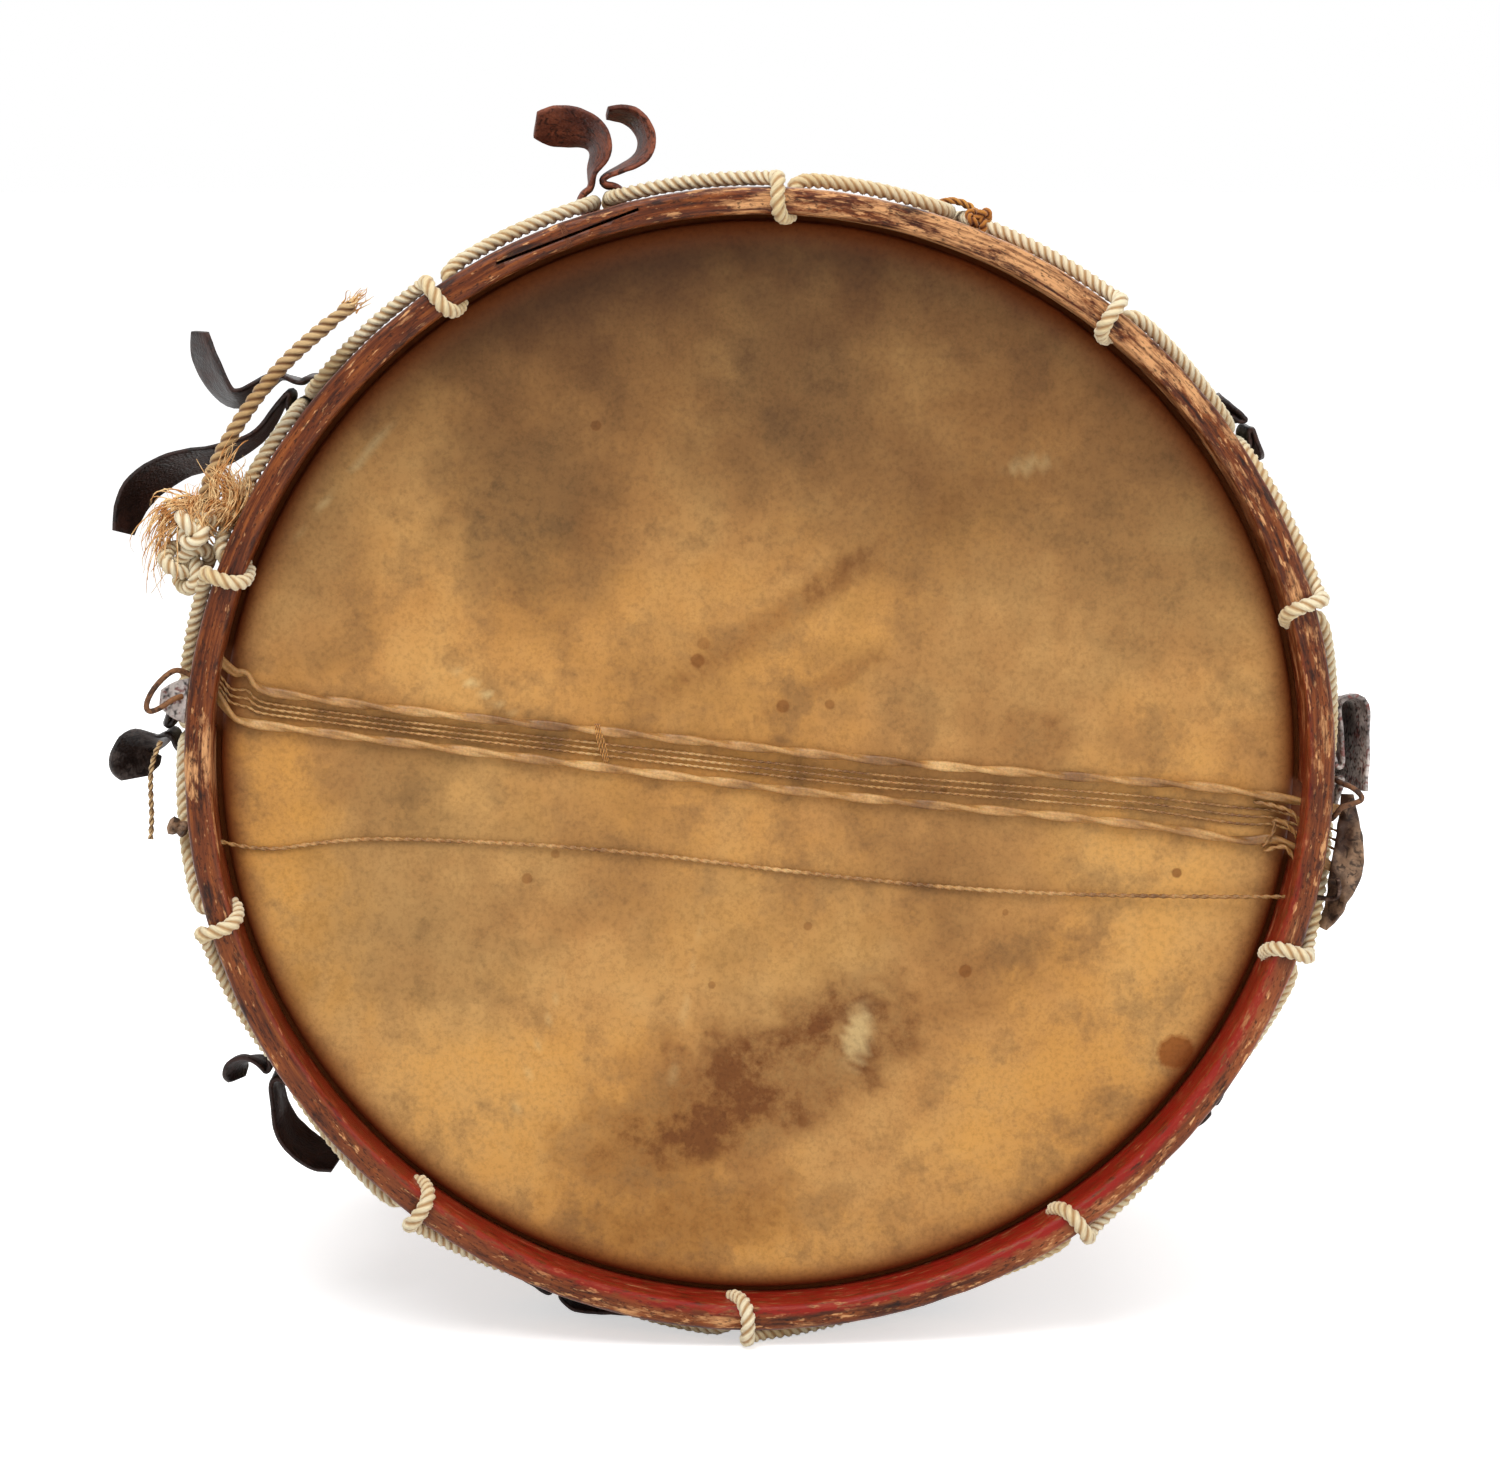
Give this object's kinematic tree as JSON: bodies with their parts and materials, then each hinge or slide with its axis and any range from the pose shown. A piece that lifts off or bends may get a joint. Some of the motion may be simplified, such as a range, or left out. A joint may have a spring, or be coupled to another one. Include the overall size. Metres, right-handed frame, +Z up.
{
  "type": "rope-tension side drum",
  "caption": "Rope-tensioned military side drum on its side: wooden shell and hoops, skin heads, gut snares, and leather ears that slide along the rope.",
  "frame": {"origin": "on the ground, at the middle of the base of the box round the lying drum", "axes": "+Z up; -Y towards the snare head, which faces the viewer; +X to the right as seen from there; the drum's own axis lies along Y and leans back by 1.2 degrees"},
  "size_m": [0.5033, 0.3514, 0.481],
  "materials": {
    "shell_wood": "satin varnish, worn",
    "hoop_wood": "worn varnish over old red paint",
    "inner_wood": "bare",
    "calfskin": "smooth, waxy",
    "rope": "laid fibre, matt",
    "grey_cord": "frayed, matt",
    "orange_cord": "matt",
    "dark_leather": "dry, slightly glossy",
    "red_leather": "dry, matt",
    "grey_leather": "pebbled, matt",
    "gut": "smooth, slightly translucent",
    "brass": "tarnished",
    "bone": "polished bone",
    "wire": "dark"
  },
  "bodies": {
    "drum": {"shell": "shell_wood", "vent_grommet": "bone", "seam_tacks": "brass", "reinforcing_ring_snare": "inner_wood", "reinforcing_ring_batter": "inner_wood", "snare_head": "calfskin", "batter_head": "calfskin", "snare_flesh_hoop": "inner_wood", "batter_flesh_hoop": "inner_wood", "snare_counterhoop": "hoop_wood", "batter_counterhoop": "hoop_wood", "tension_rope": "rope", "rope_tie": "orange_cord", "rope_knot": "rope", "rope_tail": "grey_cord", "snare_upper": "gut", "snare_lower": "gut", "snare_fine": "gut", "snare_loose": "gut", "snare_tab": "grey_leather", "tab_lace": "dark_leather", "butt_leather": "red_leather", "butt_lace": "dark_leather", "snare_knot": "grey_cord", "snare_hook": "wire", "snare_tie": "orange_cord"},
    "ear_1_body": {"ear_1": "dark_leather"},
    "ear_2_body": {"ear_2": "grey_leather"},
    "ear_3_body": {"ear_3": "dark_leather"},
    "ear_4_body": {"ear_4": "dark_leather"},
    "ear_5_body": {"ear_5": "red_leather"},
    "ear_6_body": {"ear_6": "dark_leather"},
    "ear_7_body": {"ear_7": "grey_leather", "ear_thong": "grey_cord"},
    "ear_8_body": {"ear_8": "red_leather"},
    "ear_9_body": {"ear_9": "red_leather"}
  },
  "joints": [
    {"name": "ear_1_slide", "type": "slide", "parent": "drum", "child": "ear_1_body", "axis": [0, 0.9998, -0.0208], "range_m": [0, 0.15]},
    {"name": "ear_2_slide", "type": "slide", "parent": "drum", "child": "ear_2_body", "axis": [0, 0.9998, -0.0208], "range_m": [0, 0.15]},
    {"name": "ear_3_slide", "type": "slide", "parent": "drum", "child": "ear_3_body", "axis": [0, 0.9998, -0.0208], "range_m": [0, 0.15]},
    {"name": "ear_4_slide", "type": "slide", "parent": "drum", "child": "ear_4_body", "axis": [0, 0.9998, -0.0208], "range_m": [0, 0.15]},
    {"name": "ear_5_slide", "type": "slide", "parent": "drum", "child": "ear_5_body", "axis": [0, 0.9998, -0.0208], "range_m": [0, 0.15]},
    {"name": "ear_6_slide", "type": "slide", "parent": "drum", "child": "ear_6_body", "axis": [0, 0.9998, -0.0208], "range_m": [0, 0.15]},
    {"name": "ear_7_slide", "type": "slide", "parent": "drum", "child": "ear_7_body", "axis": [0, 0.9998, -0.0208], "range_m": [0, 0.15]},
    {"name": "ear_8_slide", "type": "slide", "parent": "drum", "child": "ear_8_body", "axis": [0, 0.9998, -0.0208], "range_m": [0, 0.15]},
    {"name": "ear_9_slide", "type": "slide", "parent": "drum", "child": "ear_9_body", "axis": [0, 0.9998, -0.0208], "range_m": [0, 0.15]}
  ]
}
